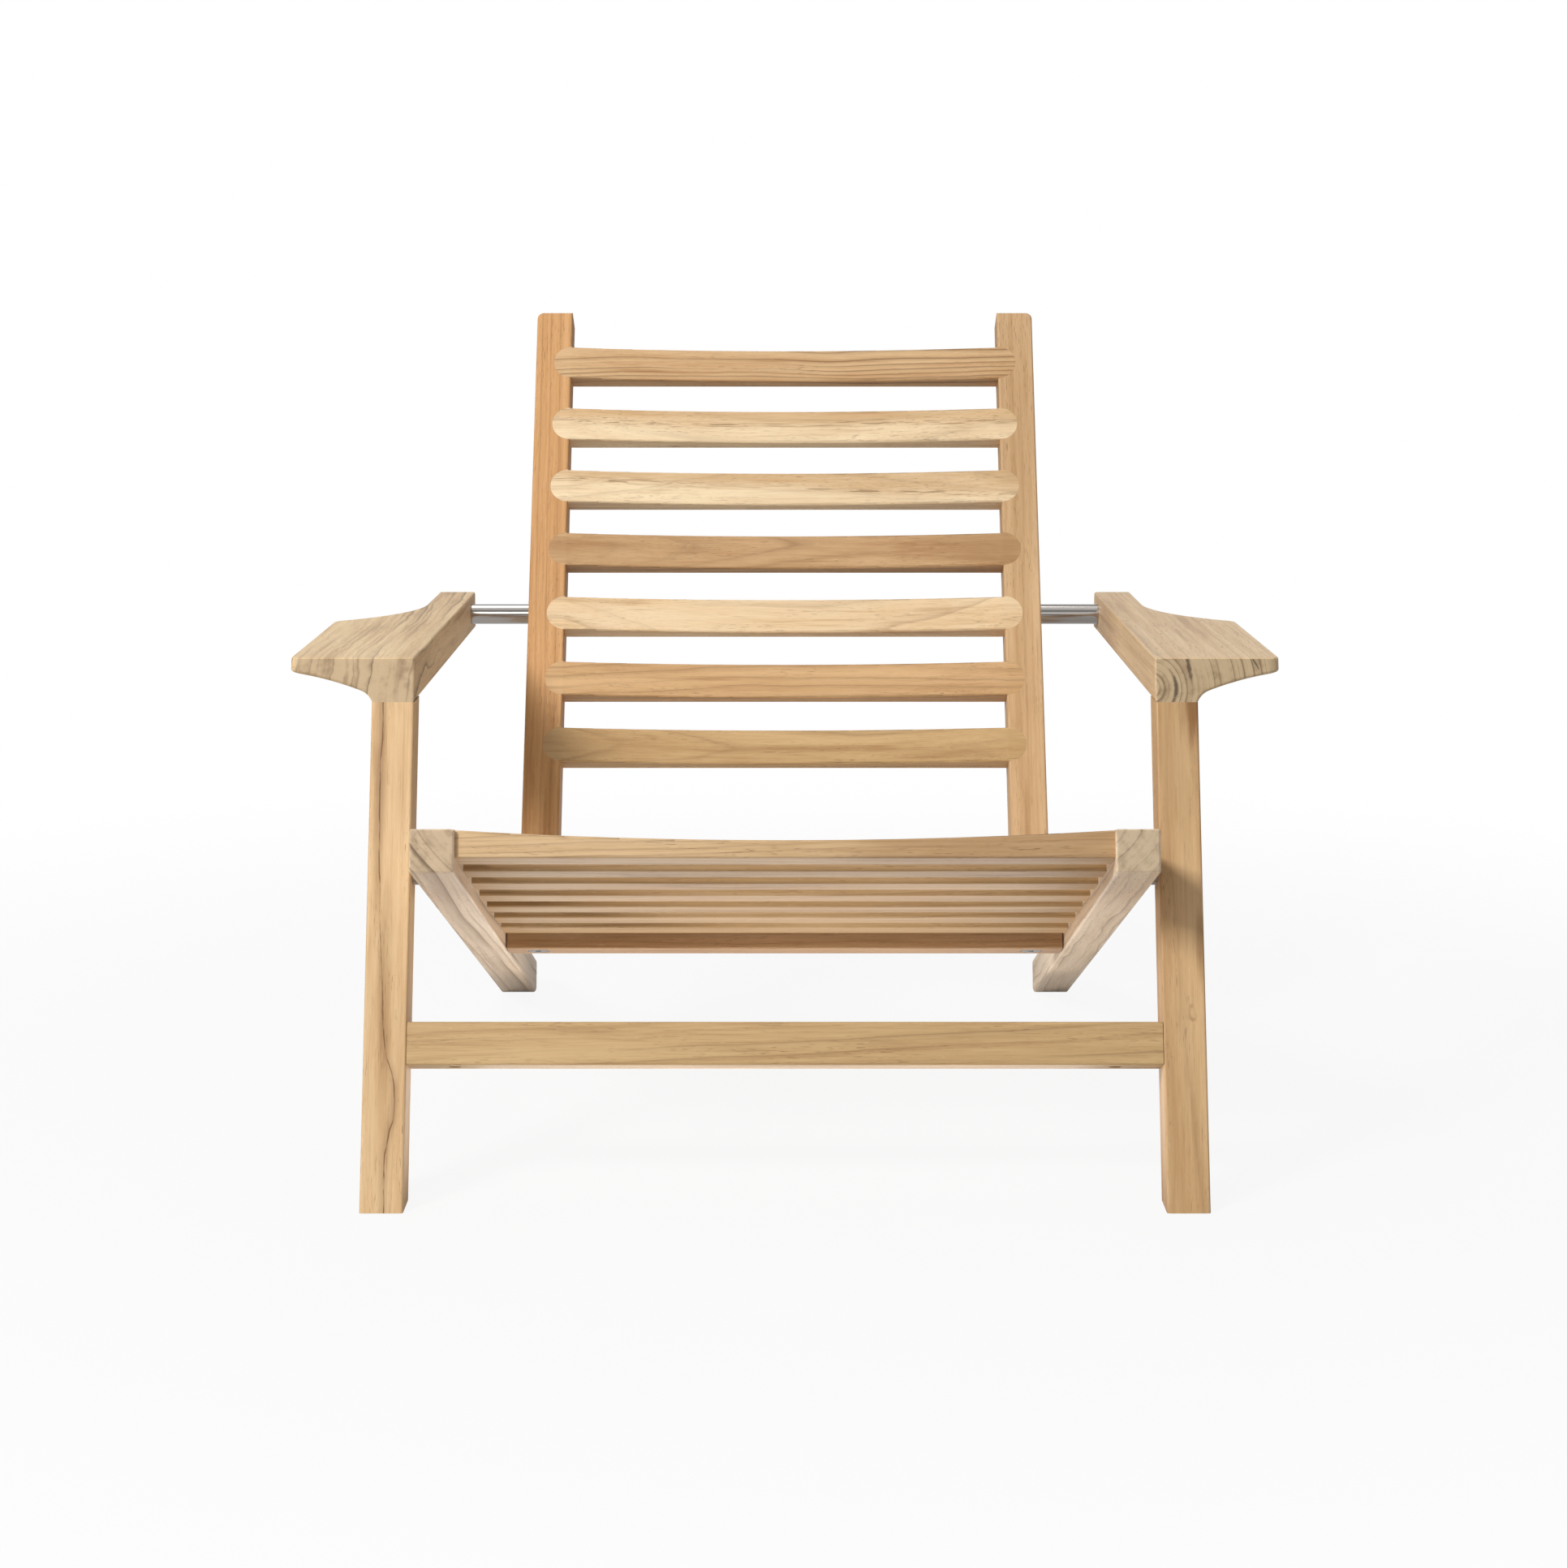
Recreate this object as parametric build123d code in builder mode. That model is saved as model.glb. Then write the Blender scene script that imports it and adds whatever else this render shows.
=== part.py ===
import os
from math import cos, radians, sin, tan

from build123d import *

os.makedirs("parts", exist_ok=True)

# Driving dimensions, in millimetres and degrees
stock = 33.0  # square section of legs, rails, stiles, stretcher and crossbar
rake = 20.3  # lean of the front legs, and fall of the seat, which is square to them
recline = 30.25  # lean of the back from the vertical
leg_half_span = 320.0  # middle of the chair to the outer face of a front leg
rail_gap = 10.5  # between a front leg and the seat rail beside it
stile_gap = 11.0  # between a seat rail and the back stile beside it
arm_top = 401.0
rail_bolt_up_leg = 260.0  # from the foot, along the leg, to the bolt through the seat rail
rail_overhang = 114.0  # seat rail in front of that bolt
stretcher_up_leg = 128.0
stile_length = 592.5
rear_foot_flat = 18.0  # length of the seat rail that lies on the floor
wood_round = 2.0  # eased edges
corner_round = 6.0  # outer top corner of a stile and rear end of a rail
fit_gap = 0.05  # all round a glued or screwed joint

# Slats
slat_count = 7
slat_width = 32.5
seat_slat_pitch = 63.4
back_slat_pitch = 63.8
seat_slat_thickness = 21.0
back_slat_thickness = 19.5
slat_scoop = 7.4  # hollow in the middle of a slat
seat_slat_setback = 5.3  # first slat behind the front end of the rails
crossbar_gap = 12.3  # between the last seat slat and the rear crossbar
back_slat_drop = 36.5  # first slat below the top of the stiles

# Armrests
arm_length = 484.0  # along the underside
arm_wing = 64.5  # how far the wing stands out beyond the leg
arm_wing_back = 254.0  # straight outer edge of the wing
arm_neck_start = 384.0  # where the armrest is down to the width of the leg
arm_wing_edge = 11.0  # thickness of the wing along its outer edge
arm_wing_corner = 12.0  # where the wing's straight edge ends
arm_front_corner = 10.0
arm_cove = 9.0  # small hollow where the wing leaves the leg
arm_cove_rise = 8.3
arm_cove_angle = 20.0
arm_hollow = 1.6  # further hollow under the wing
tenon_width = 13.0
tenon_depth = 19.0
tenon_height = 22.0

# Steel rod that the back leans on
rod_radius = 9.0
rod_seat = 22.0  # depth of its bore in each armrest
rod_behind_slats = 1.5  # gap between the rod and the back of the slats
rod_bore_gap = 0.1
rod_end_round = 1.0
notch_rest_gap = 0.3
notch_side_gap = 1.2

# Pivot of the back
pin_radius = 6.0
pin_in_crossbar = 19.0
pin_running_gap = 0.05
bush_wall = 2.0
bush_length = 18.0
bush_flange_radius = 12.0
bush_flange = 1.0
crossbar_end_gap = 0.4

# Fasteners
head_radius = 9.0
head_thickness = 3.0
socket_across = 5.0
socket_depth = 2.0
head_gap = 0.5
bolt_radius = 4.0
bolt_clearance = 0.2
insert_radius = 6.0
insert_length = 22.0
spacer_radius = 8.0
lock_pin_radius = 2.5
lock_pin_offset = 11.0
lock_pin_depth = 15.0
stretcher_bolt_radius = 3.0
barrel_nut_radius = 5.0
barrel_nut_length = 16.0
barrel_nut_from_leg = 35.0
bolt_past_nut = 4.0

# Values that follow from the driving dimensions
half = stock / 2
leg_inner = leg_half_span - stock
leg_centre = leg_half_span - half
rail_outer = leg_inner - rail_gap
rail_inner = rail_outer - stock
rail_centre = rail_outer - half
stile_centre = rail_inner - stile_gap - half
stile_inner = stile_centre - half
arm_bottom = arm_top - stock
arm_middle = arm_top - half
back_angle = 90 - recline
up_leg = Vector(0, sin(radians(rake)), cos(radians(rake)))
down_seat = Vector(0, cos(radians(rake)), -sin(radians(rake)))
up_back = Vector(0, cos(radians(back_angle)), sin(radians(back_angle)))
back_normal = Vector(0, -up_back.Z, up_back.Y)
across = Axis.X.direction
last_slat_rear = seat_slat_setback + (slat_count - 1) * seat_slat_pitch + slat_width
crossbar_front = last_slat_rear + crossbar_gap - rail_overhang
crossbar_behind_bolt = crossbar_front + half
stretcher_z = stretcher_up_leg - rail_bolt_up_leg

# Side view measured from the front edge of the front feet
bolt_point = down_seat * half + up_leg * rail_bolt_up_leg
rail_front_low = bolt_point - down_seat * rail_overhang - up_leg * half
rail_to_floor = rail_front_low.Z / sin(radians(rake))
rail_length = rail_to_floor + rear_foot_flat * cos(radians(rake))
rail_end_top = rail_front_low + down_seat * rail_length + up_leg * stock
stile_foot = bolt_point + down_seat * crossbar_front + up_leg * half
stile_top_rear = stile_foot + up_back * stile_length - back_normal * stock
origin_shift = Vector(0, (rail_front_low.Y + max(rail_end_top.Y, stile_top_rear.Y)) / 2, 0)

# The middle of the chair's depth and width, on the floor, is the origin
bolt_origin = bolt_point - origin_shift
stile_origin = stile_foot - origin_shift
seat_plane = Plane(origin=bolt_origin, x_dir=across, z_dir=up_leg)
seat_top = seat_plane.offset(half)
back_plane = Plane(origin=stile_origin, x_dir=across, z_dir=back_normal)
front_plane = Plane(origin=bolt_origin - down_seat * half, x_dir=across, z_dir=down_seat)
leg_axis = Axis(bolt_origin, up_leg)
rail_axis = Axis(bolt_origin, down_seat)
stile_axis = Axis(stile_origin, up_back)

# The rod lies at the middle of the armrests, behind the front of the stiles
rod_behind_front = back_slat_thickness + rod_behind_slats + rod_radius
rod_rise = arm_middle - stile_origin.Z + rod_behind_front * back_normal.Z
rod_up_stile = rod_rise / sin(radians(back_angle))
rod_point = stile_origin + up_back * rod_up_stile - back_normal * rod_behind_front

# The armrests start where the front of the legs reaches their underside
arm_front_low = arm_bottom * tan(radians(rake)) - origin_shift.Y
arm_rear = arm_front_low + arm_length
tenon_base = (arm_bottom - bolt_origin.Z) / cos(radians(rake)) - stock
tenon_top = tenon_base + stock + tenon_height
crossbar_half = rail_inner - bush_flange - crossbar_end_gap

# A round or a block stands on its place or hangs from it
standing = (Align.CENTER, Align.CENTER, Align.MIN)
hanging = (Align.CENTER, Align.CENTER, Align.MAX)


def save(part, name):
    part.label = name
    export_step(part, f"parts/{name}.step")


def facing(side):
    # Turns a hole or a bolt to face out of the chair on that side
    return (0, 90 * side, 0)


def socket_bolt(place, radius, length):
    # A flat head with a hexagon socket, whose shank runs down from the place
    with Locations(place):
        Cylinder(head_radius, head_thickness, align=hanging)
        Cylinder(radius, length, align=hanging)
    with BuildSketch(Plane(seat_plane.location * place)) as socket:
        RegularPolygon(socket_across / 2, 6, major_radius=False)
    extrude(socket.sketch, amount=-socket_depth, mode=Mode.SUBTRACT)


# Front legs, each with a tenon that goes up into its armrest
def front_leg(side, name):
    with BuildPart(seat_plane) as leg:
        with Locations((side * leg_centre, 0, 0)):
            Box(stock, stock, 3 * arm_top)
        fillet(leg.edges().filter_by(leg_axis), wood_round)
        split(bisect_by=Plane.XY.offset(arm_bottom), keep=Keep.BOTTOM)
        split(bisect_by=Plane.XY, keep=Keep.TOP)
        with Locations((side * leg_centre, 0, tenon_base)):
            Box(tenon_width, tenon_depth, tenon_top - tenon_base, align=standing)
        with Locations(Location((side * leg_half_span, 0, 0), facing(side))):
            CounterBoreHole(bolt_radius + bolt_clearance, head_radius + head_gap, head_thickness)
        with Locations(Location((side * leg_half_span, 0, stretcher_z), facing(side))):
            CounterBoreHole(stretcher_bolt_radius + bolt_clearance, head_radius + head_gap, head_thickness)
        with Locations(Location((side * leg_inner, -lock_pin_offset, 0), facing(-side))):
            Hole(lock_pin_radius + fit_gap, lock_pin_depth)
    save(leg.part, name)


# Armrests, thick over the leg and thin along the outer edge of the wing
def armrest(side, name):
    wing_outer = leg_half_span + arm_wing
    wing_back = arm_front_low + arm_wing_back
    neck_start = arm_front_low + arm_neck_start
    edge_low = arm_top - arm_wing_edge
    cove_end = leg_half_span + arm_cove
    cove_top = arm_bottom + arm_cove_rise
    cove_slope = radians(arm_cove_angle)
    hollow_x = (cove_end + wing_outer) / 2
    hollow_z = (cove_top + edge_low) / 2 + arm_hollow
    outward = Axis((0, 0, 0), (side, 0, 0))
    with BuildPart() as arm:
        with BuildSketch(Plane.XY.offset(arm_bottom)) as plan:
            with BuildLine():
                Polyline(
                    (side * leg_half_span, neck_start),
                    (side * leg_half_span, arm_rear),
                    (side * leg_inner, arm_rear),
                    (side * leg_inner, arm_front_low),
                    (side * wing_outer, arm_front_low),
                    (side * wing_outer, wing_back),
                )
                TangentArc(
                    (side * leg_half_span, neck_start), (side * wing_outer, wing_back), tangent=(0, -1)
                )
            make_face()
            fillet(plan.vertices().group_by(outward)[-1].sort_by(Axis.Y)[-1], arm_wing_corner)
        extrude(amount=stock)
        with BuildSketch(Plane.XZ.offset(-arm_rear)):
            with BuildLine():
                Polyline(
                    (side * leg_half_span, arm_bottom),
                    (side * leg_inner, arm_bottom),
                    (side * leg_inner, arm_top),
                    (side * wing_outer, arm_top),
                    (side * wing_outer, edge_low),
                )
                ThreePointArc(
                    (side * wing_outer, edge_low), (side * hollow_x, hollow_z), (side * cove_end, cove_top)
                )
                TangentArc(
                    (side * cove_end, cove_top),
                    (side * leg_half_span, arm_bottom),
                    tangent=(-side * cos(cove_slope), -sin(cove_slope)),
                )
            make_face()
        extrude(amount=arm_rear - arm_front_low + stock, mode=Mode.INTERSECT)
        split(bisect_by=front_plane, keep=Keep.TOP)
        fillet(arm.edges().group_by(outward)[-1].sort_by(Axis.Y)[0], arm_front_corner)
        wing_under = arm.faces().filter_by(GeomType.CYLINDER).sort_by(SortBy.AREA)[-1]
        eased = wing_under.edges().sort_by(outward)[1:]
        eased += arm.faces().sort_by(outward)[0].edges()
        for axis in (Axis.Y, Axis.Z):
            eased += arm.faces().sort_by(axis)[-1].edges()
        fillet(eased, wood_round)
        with Locations(seat_plane):
            with Locations((side * leg_centre, 0, tenon_base)):
                Box(
                    tenon_width + 2 * fit_gap,
                    tenon_depth + 2 * fit_gap,
                    tenon_top - tenon_base + 2 * fit_gap,
                    align=standing,
                    mode=Mode.SUBTRACT,
                )
        with Locations(Location((side * leg_inner, rod_point.Y, rod_point.Z), facing(-side))):
            Hole(rod_radius + rod_bore_gap, rod_seat)
    save(arm.part, name)


# Stretcher between the front legs, with a cross nut near each end
def front_stretcher():
    with BuildPart(seat_plane) as stretcher:
        with Locations((0, 0, stretcher_z)):
            Box(2 * (leg_inner - fit_gap), stock, stock)
        fillet(stretcher.edges().filter_by(Axis.X), wood_round)
        bore_depth = barrel_nut_from_leg + barrel_nut_radius + bolt_past_nut
        for side in (-1, 1):
            with Locations(Location((side * (leg_inner - fit_gap), 0, stretcher_z), facing(side))):
                Hole(stretcher_bolt_radius + bolt_clearance, bore_depth)
            nut_x = side * (leg_inner - barrel_nut_from_leg)
            with Locations(Location((nut_x, 0, stretcher_z - half), (180, 0, 0))):
                Hole(barrel_nut_radius + fit_gap, half + barrel_nut_length / 2)
    save(stretcher.part, "front_stretcher")


# Seat rails, which run down to the floor as the rear legs
def seat_slat_y(number):
    return seat_slat_setback - rail_overhang + slat_width / 2 + number * seat_slat_pitch


def seat_rail(side, name):
    with BuildPart(seat_plane) as rail:
        with Locations((side * rail_centre, -rail_overhang, 0)):
            Box(stock, rail_length, stock, align=(Align.CENTER, Align.MIN, Align.CENTER))
        end_top = rail.faces().sort_by(rail_axis)[-1].edges().filter_by(Axis.X).sort_by(Axis.Z)[-1]
        fillet(end_top, corner_round)
        front_end = rail.faces().sort_by(rail_axis)[0]
        fillet(rail.edges().filter_by(rail_axis) + front_end.edges(), wood_round)
        split(bisect_by=Plane.XY, keep=Keep.TOP)
        for number in range(slat_count):
            with Locations((side * rail_inner, seat_slat_y(number), half)):
                Cylinder(
                    slat_width / 2 + fit_gap,
                    seat_slat_thickness + fit_gap,
                    align=hanging,
                    mode=Mode.SUBTRACT,
                )
        with Locations(Location((side * rail_outer, 0, 0), facing(side))):
            Hole(insert_radius + fit_gap, insert_length)
        with Locations(Location((side * rail_outer, -lock_pin_offset, 0), facing(side))):
            Hole(lock_pin_radius + fit_gap, lock_pin_depth)
        with Locations(Location((side * rail_inner, crossbar_behind_bolt, 0), facing(-side))):
            Hole(pin_radius + pin_running_gap + bush_wall + fit_gap, bush_length + fit_gap)
    save(rail.part, name)


# Slats with round ends, let in flush, and hollowed along the middle
def slat(face_plane, y_centre, half_span, thickness, name):
    middle = face_plane.from_local_coords((0, y_centre, 0))
    with BuildPart() as bar:
        with BuildSketch(Plane(origin=middle, x_dir=across, z_dir=-face_plane.y_dir)):
            with BuildLine():
                Polyline(
                    (-half_span, 0),
                    (-half_span, -thickness),
                    (half_span, -thickness),
                    (half_span, 0),
                )
                ThreePointArc((-half_span, 0), (0, -slat_scoop), (half_span, 0))
            make_face()
        extrude(amount=slat_width / 2, both=True)
        fillet(bar.edges().filter_by(lambda edge: edge.length > half_span), wood_round)
        with BuildSketch(face_plane):
            with Locations((0, y_centre)):
                SlotOverall(2 * half_span + slat_width, slat_width)
                Rectangle(2 * half_span, slat_width, mode=Mode.SUBTRACT)
        extrude(amount=-thickness)
    save(bar.part, name)


# Back stiles, notched behind for the rod and cut at the foot to stand on the crossbar
def back_slat_y(number):
    return stile_length - back_slat_drop - slat_width / 2 - number * back_slat_pitch


def back_stile(side, name):
    notch_radius = rod_radius + notch_side_gap
    notch_middle = rod_behind_front - rod_radius - notch_rest_gap + notch_radius
    with BuildPart(back_plane) as stile:
        with Locations((side * stile_centre, -stock, -half)):
            Box(stock, stile_length + stock, stock, align=(Align.CENTER, Align.MIN, Align.CENTER))
        top = stile.faces().sort_by(stile_axis)[-1]
        outer_corner = top.edges().filter_by(Axis(stile_origin, back_normal)).sort_by(Axis.X)
        fillet(outer_corner[-1 if side > 0 else 0], corner_round)
        fillet(stile.edges().filter_by(stile_axis), wood_round)
        split(bisect_by=seat_top, keep=Keep.TOP)
        for number in range(slat_count):
            with Locations((side * stile_inner, back_slat_y(number), 0)):
                Cylinder(
                    slat_width / 2 + fit_gap,
                    back_slat_thickness + fit_gap,
                    align=hanging,
                    mode=Mode.SUBTRACT,
                )
        with Locations(Location((side * stile_centre, rod_up_stile, -notch_middle), (0, 90, 0))):
            Cylinder(notch_radius, 2 * stock, mode=Mode.SUBTRACT)
        with Locations((side * stile_centre, rod_up_stile, -notch_middle)):
            Box(
                2 * stock,
                2 * notch_radius,
                stock,
                align=hanging,
                mode=Mode.SUBTRACT,
            )
        foot_centre = Location((side * stile_centre, crossbar_behind_bolt, 0))
        with Locations(back_plane.location.inverse() * seat_top.location * foot_centre):
            Cylinder(insert_radius + fit_gap, 2 * (insert_length + bolt_past_nut), mode=Mode.SUBTRACT)
    save(stile.part, name)


# Rear crossbar, which carries the stiles and turns in the seat rails
def rear_crossbar():
    with BuildPart(seat_plane) as crossbar:
        with Locations((0, crossbar_behind_bolt, 0)):
            Box(2 * crossbar_half, stock, stock)
        fillet(crossbar.edges().filter_by(Axis.X), wood_round)
        for side in (-1, 1):
            with Locations(Location((side * crossbar_half, crossbar_behind_bolt, 0), facing(side))):
                Hole(pin_radius + fit_gap, pin_in_crossbar + fit_gap)
            with Locations(Location((side * stile_centre, crossbar_behind_bolt, -half), (180, 0, 0))):
                CounterBoreHole(bolt_radius + bolt_clearance, head_radius + head_gap, head_thickness)
    save(crossbar.part, "rear_crossbar")


# Steel rod across the back, seated in both armrests
def back_rest_rod():
    with BuildPart() as rod:
        with Locations(Location((0, rod_point.Y, rod_point.Z), (0, 90, 0))):
            Cylinder(rod_radius, 2 * (leg_inner + rod_seat - fit_gap))
        fillet(rod.edges(), rod_end_round)
    save(rod.part, "back_rest_rod")


# Steel spacers between the front legs and the seat rails
def rail_spacers():
    with BuildPart(seat_plane) as spacers:
        for side in (-1, 1):
            with Locations(Location((side * leg_inner, 0, 0), facing(side))):
                Cylinder(spacer_radius, rail_gap, align=hanging)
                Hole(bolt_radius + bolt_clearance, rail_gap)
    save(spacers.part, "rail_spacers")


# Pins beside the rail bolts, which stop the legs turning on them
def rail_lock_pins():
    with BuildPart(seat_plane) as pins:
        for side in (-1, 1):
            middle = side * (leg_inner - rail_gap / 2)
            with Locations(Location((middle, -lock_pin_offset, 0), facing(side))):
                Cylinder(lock_pin_radius, rail_gap + 2 * (lock_pin_depth - fit_gap))
    save(pins.part, "rail_lock_pins")


# Threaded sleeves in the wood, for the larger bolts
def threaded_sleeve(place):
    with Locations(place):
        Cylinder(insert_radius, insert_length - fit_gap, align=hanging)
        Hole(bolt_radius + fit_gap, insert_length)


def rail_inserts():
    with BuildPart(seat_plane) as inserts:
        for side in (-1, 1):
            threaded_sleeve(Location((side * (rail_outer - fit_gap), 0, 0), facing(side)))
    save(inserts.part, "rail_inserts")


def stile_inserts():
    with BuildPart(seat_plane) as inserts:
        for side in (-1, 1):
            threaded_sleeve(
                Location((side * stile_centre, crossbar_behind_bolt, half + fit_gap), (180, 0, 0))
            )
    save(inserts.part, "stile_inserts")


# Bolts with flat round heads, sunk flush with the wood
def rail_bolts():
    length = stock + rail_gap + insert_length - bolt_past_nut
    with BuildPart(seat_plane) as bolts:
        for side in (-1, 1):
            place = Location((side * leg_half_span, 0, 0), facing(side))
            socket_bolt(place, bolt_radius, length)
    save(bolts.part, "rail_bolts")


def stretcher_bolts():
    length = stock + barrel_nut_from_leg + barrel_nut_radius + bolt_past_nut / 2
    with BuildPart(seat_plane) as bolts:
        for side in (-1, 1):
            place = Location((side * leg_half_span, 0, stretcher_z), facing(side))
            socket_bolt(place, stretcher_bolt_radius, length)
    save(bolts.part, "stretcher_bolts")


def stile_bolts():
    length = stock + insert_length - bolt_past_nut
    with BuildPart(seat_plane) as bolts:
        for side in (-1, 1):
            place = Location((side * stile_centre, crossbar_behind_bolt, -half), (180, 0, 0))
            socket_bolt(place, bolt_radius, length)
    save(bolts.part, "stile_bolts")


# Cross nuts in the stretcher, round bars with a threaded hole through them
def stretcher_barrel_nuts():
    with BuildPart(seat_plane) as nuts:
        for side in (-1, 1):
            place = (side * (leg_inner - barrel_nut_from_leg), 0, stretcher_z)
            with Locations(place):
                Cylinder(barrel_nut_radius, barrel_nut_length)
            with Locations(Location(place, facing(side))):
                Cylinder(stretcher_bolt_radius + fit_gap, 4 * barrel_nut_radius, mode=Mode.SUBTRACT)
    save(nuts.part, "stretcher_barrel_nuts")


# Pivot of the back: pins fixed in the crossbar, turning in flanged bushes in the rails
def pivot_pins():
    length = pin_in_crossbar + bush_flange + bush_length
    with BuildPart(seat_plane) as pins:
        for side in (-1, 1):
            inner_end = side * (crossbar_half - pin_in_crossbar)
            with Locations(Location((inner_end, crossbar_behind_bolt, 0), facing(side))):
                Cylinder(pin_radius, length, align=standing)
    save(pins.part, "pivot_pins")


def pivot_bushes():
    bore = pin_radius + pin_running_gap
    with BuildPart(seat_plane) as bushes:
        for side in (-1, 1):
            with Locations(Location((side * rail_inner, crossbar_behind_bolt, 0), facing(-side))):
                Cylinder(bush_flange_radius, bush_flange, align=standing)
                Cylinder(bore + bush_wall, bush_length, align=hanging)
                Cylinder(bore, 2 * (bush_length + bush_flange), mode=Mode.SUBTRACT)
    save(bushes.part, "pivot_bushes")


for side, hand in ((-1, "left"), (1, "right")):
    front_leg(side, f"{hand}_front_leg")
    armrest(side, f"{hand}_armrest")
    seat_rail(side, f"{hand}_seat_rail")
    back_stile(side, f"{hand}_back_stile")
for number in range(slat_count):
    slat(seat_top, seat_slat_y(number), rail_inner, seat_slat_thickness, f"seat_slat_{number + 1}")
    slat(back_plane, back_slat_y(number), stile_inner, back_slat_thickness, f"back_slat_{number + 1}")
front_stretcher()
rear_crossbar()
back_rest_rod()
rail_spacers()
rail_lock_pins()
rail_inserts()
rail_bolts()
stretcher_bolts()
stretcher_barrel_nuts()
stile_inserts()
stile_bolts()
pivot_pins()
pivot_bushes()
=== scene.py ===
"""Looks of a low teak deck chair: solid wood with its own grain in every board, steel rod and bolts."""

import math
from dataclasses import dataclass
from typing import NamedTuple

import bpy
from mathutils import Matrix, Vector


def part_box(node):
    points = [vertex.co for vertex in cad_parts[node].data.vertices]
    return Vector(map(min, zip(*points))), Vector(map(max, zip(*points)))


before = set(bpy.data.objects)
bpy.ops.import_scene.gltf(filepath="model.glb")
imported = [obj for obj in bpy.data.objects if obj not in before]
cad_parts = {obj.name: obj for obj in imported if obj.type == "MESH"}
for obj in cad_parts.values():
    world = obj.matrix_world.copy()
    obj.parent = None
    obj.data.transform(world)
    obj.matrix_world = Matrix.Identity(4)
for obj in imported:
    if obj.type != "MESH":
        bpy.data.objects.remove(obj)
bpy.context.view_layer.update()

# The way each board's grain runs. +X is to the right, +Y to the back and +Z up.
RAKE = math.radians(20.3)
RECLINE = math.radians(59.75)
UP_LEG = Vector((0, math.sin(RAKE), math.cos(RAKE)))
DOWN_RAIL = Vector((0, math.cos(RAKE), -math.sin(RAKE)))
UP_BACK = Vector((0, math.cos(RECLINE), math.sin(RECLINE)))
RIGHT = Vector((1, 0, 0))
BACKWARD = Vector((0, 1, 0))


def tint(red, green, blue):
    """A colour as a paint chart gives it, 0 to 255, as the numbers a shader takes."""
    chart = (red / 255, green / 255, blue / 255)
    linear = [c / 12.92 if c <= 0.04045 else ((c + 0.055) / 1.055) ** 2.4 for c in chart]
    return (*linear, 1.0)


WHITE = (1.0, 1.0, 1.0, 1.0)
FLECK_CREAM = tint(250, 230, 192)
PORE_BROWN = tint(112, 76, 44)
STREAK_BROWN = tint(124, 84, 44)
SAWN_GREY = tint(108, 88, 64)
SHAKE_BLACK = tint(62, 46, 36)
STEEL_SHADE = tint(172, 167, 163)

WOOD_SPECULAR = 0.34
WOOD_RELIEF = 0.0006
FINE_RELIEF = 0.0002

# A face shows end grain from the first to the second share of its turn towards the grain.
END_STARTS, END_FULL = 0.62, 0.92

# Darkness across one year's growth, from its sharp dark edge to the next.
RING_PROFILE = [(0.0, 0.55), (0.05, 1.0), (0.13, 0.5), (0.3, 0.18), (0.7, 0.0), (0.9, 0.16), (1.0, 0.5)]

# The photograph's lens and viewpoint, in pixels of its frame, metres and degrees.
SENSOR_MM = 36.0
FOCAL_PIXELS, FRAME_PIXELS = 3785, 1932
CAMERA_PLACE = (-0.0011, -2.5819, 0.71075)
CAMERA_DIP = 9.81

# The floor's matt grey for light, and how white it looks: by the chair, more further off, less in mirrors.
FLOOR_GREY = (0.56, 0.56, 0.56, 1.0)
FLOOR_REACH, FLOOR_DROP = 9.0, 0.0004
WHITE_NEAR, WHITE_GAIN = 0.91, 0.09
GAIN_STARTS, GAIN_ENDS = 0.5, 1.7
MIRROR_LOSS = 0.68

# The light of the air, and the shade that metal mirrors from the level up to overhead.
AIR_LIGHT = 0.20
STUDIO_WALLS = [
    (0.0, 0.10), (0.07, 0.12), (0.12, 1.0), (0.42, 0.95), (0.56, 0.34), (0.80, 0.40), (0.92, 1.0),
]


class Wire:
    """An output of a shader node. Sums on wires add Math nodes."""

    def __init__(self, finish, socket):
        self.finish = finish
        self.socket = socket

    def __add__(self, other):
        return self.finish.math("ADD", self, other)

    def __sub__(self, other):
        return self.finish.math("SUBTRACT", self, other)

    def __rsub__(self, other):
        return self.finish.math("SUBTRACT", other, self)

    def __mul__(self, other):
        return self.finish.math("MULTIPLY", self, other)

    def __truediv__(self, other):
        return self.finish.math("DIVIDE", self, other)

    def __rtruediv__(self, other):
        return self.finish.math("DIVIDE", other, self)

    def __abs__(self):
        return self.finish.math("ABSOLUTE", self)

    def swing(self, weight):
        """How far a noise is above or below its middle, times weight."""
        return (self - 0.5) * weight

    __radd__ = __add__
    __rmul__ = __mul__


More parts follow.
